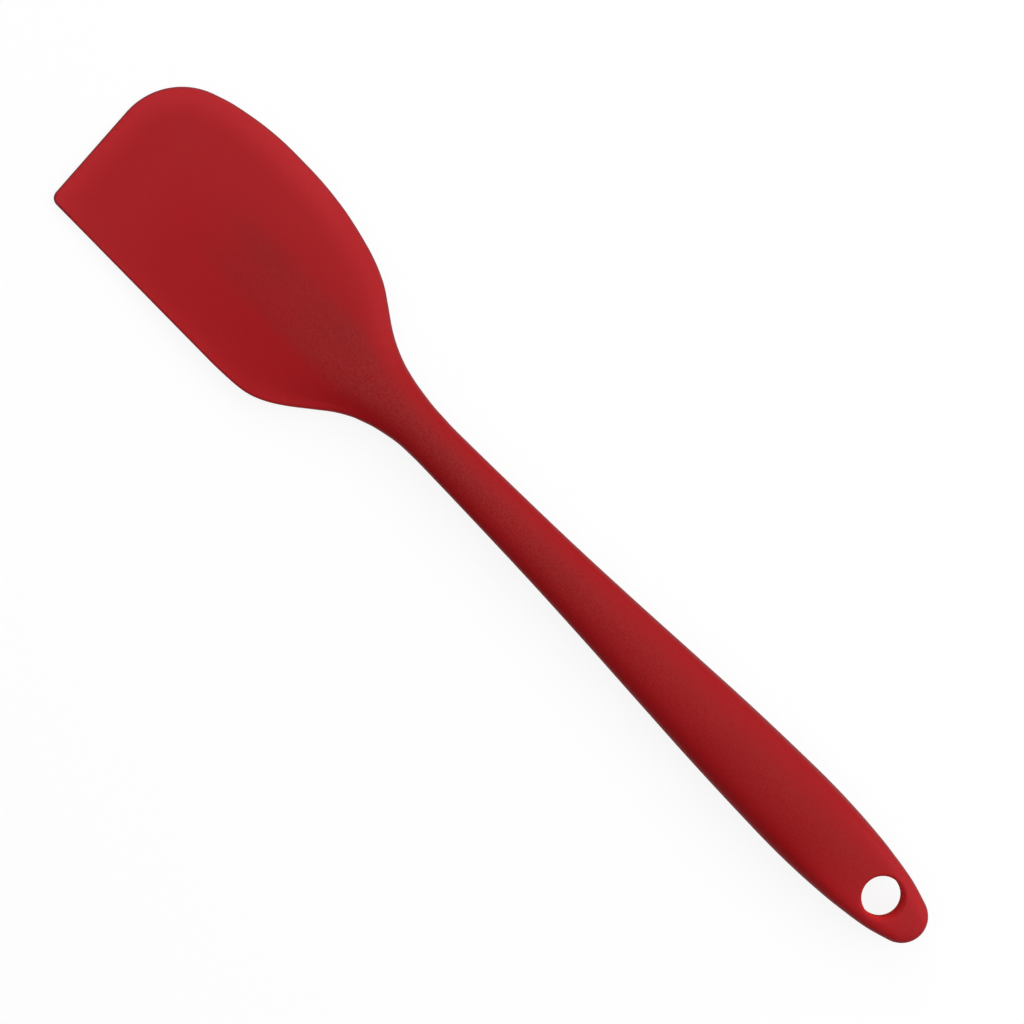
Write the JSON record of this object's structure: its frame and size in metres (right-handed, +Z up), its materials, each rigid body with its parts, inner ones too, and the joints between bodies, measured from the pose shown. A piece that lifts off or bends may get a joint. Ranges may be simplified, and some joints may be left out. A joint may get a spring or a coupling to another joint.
{
  "type": "silicone spatula",
  "caption": "One-piece silicone spatula: thin blade with a squared tip, one straight and one rounded side, slim neck, plump oval grip and a hanging hole in the tail.",
  "frame": {"origin": "on the surface that the spatula lies on, under the middle of its overall box", "axes": "+X from the blade tip to the tail along the handle, +Y across the blade to its rounded side, +Z up"},
  "size_m": [0.28, 0.0506, 0.0136],
  "materials": {
    "silicone": "matte red silicone rubber with a fine moulded grain",
    "steel": "stamped stainless strip, as rolled",
    "nylon": "black glass-filled nylon, as moulded"
  },
  "bodies": {
    "root": {"silicone_skin": "silicone", "steel_spine": "steel", "grip_core": "nylon"}
  },
  "joints": []
}
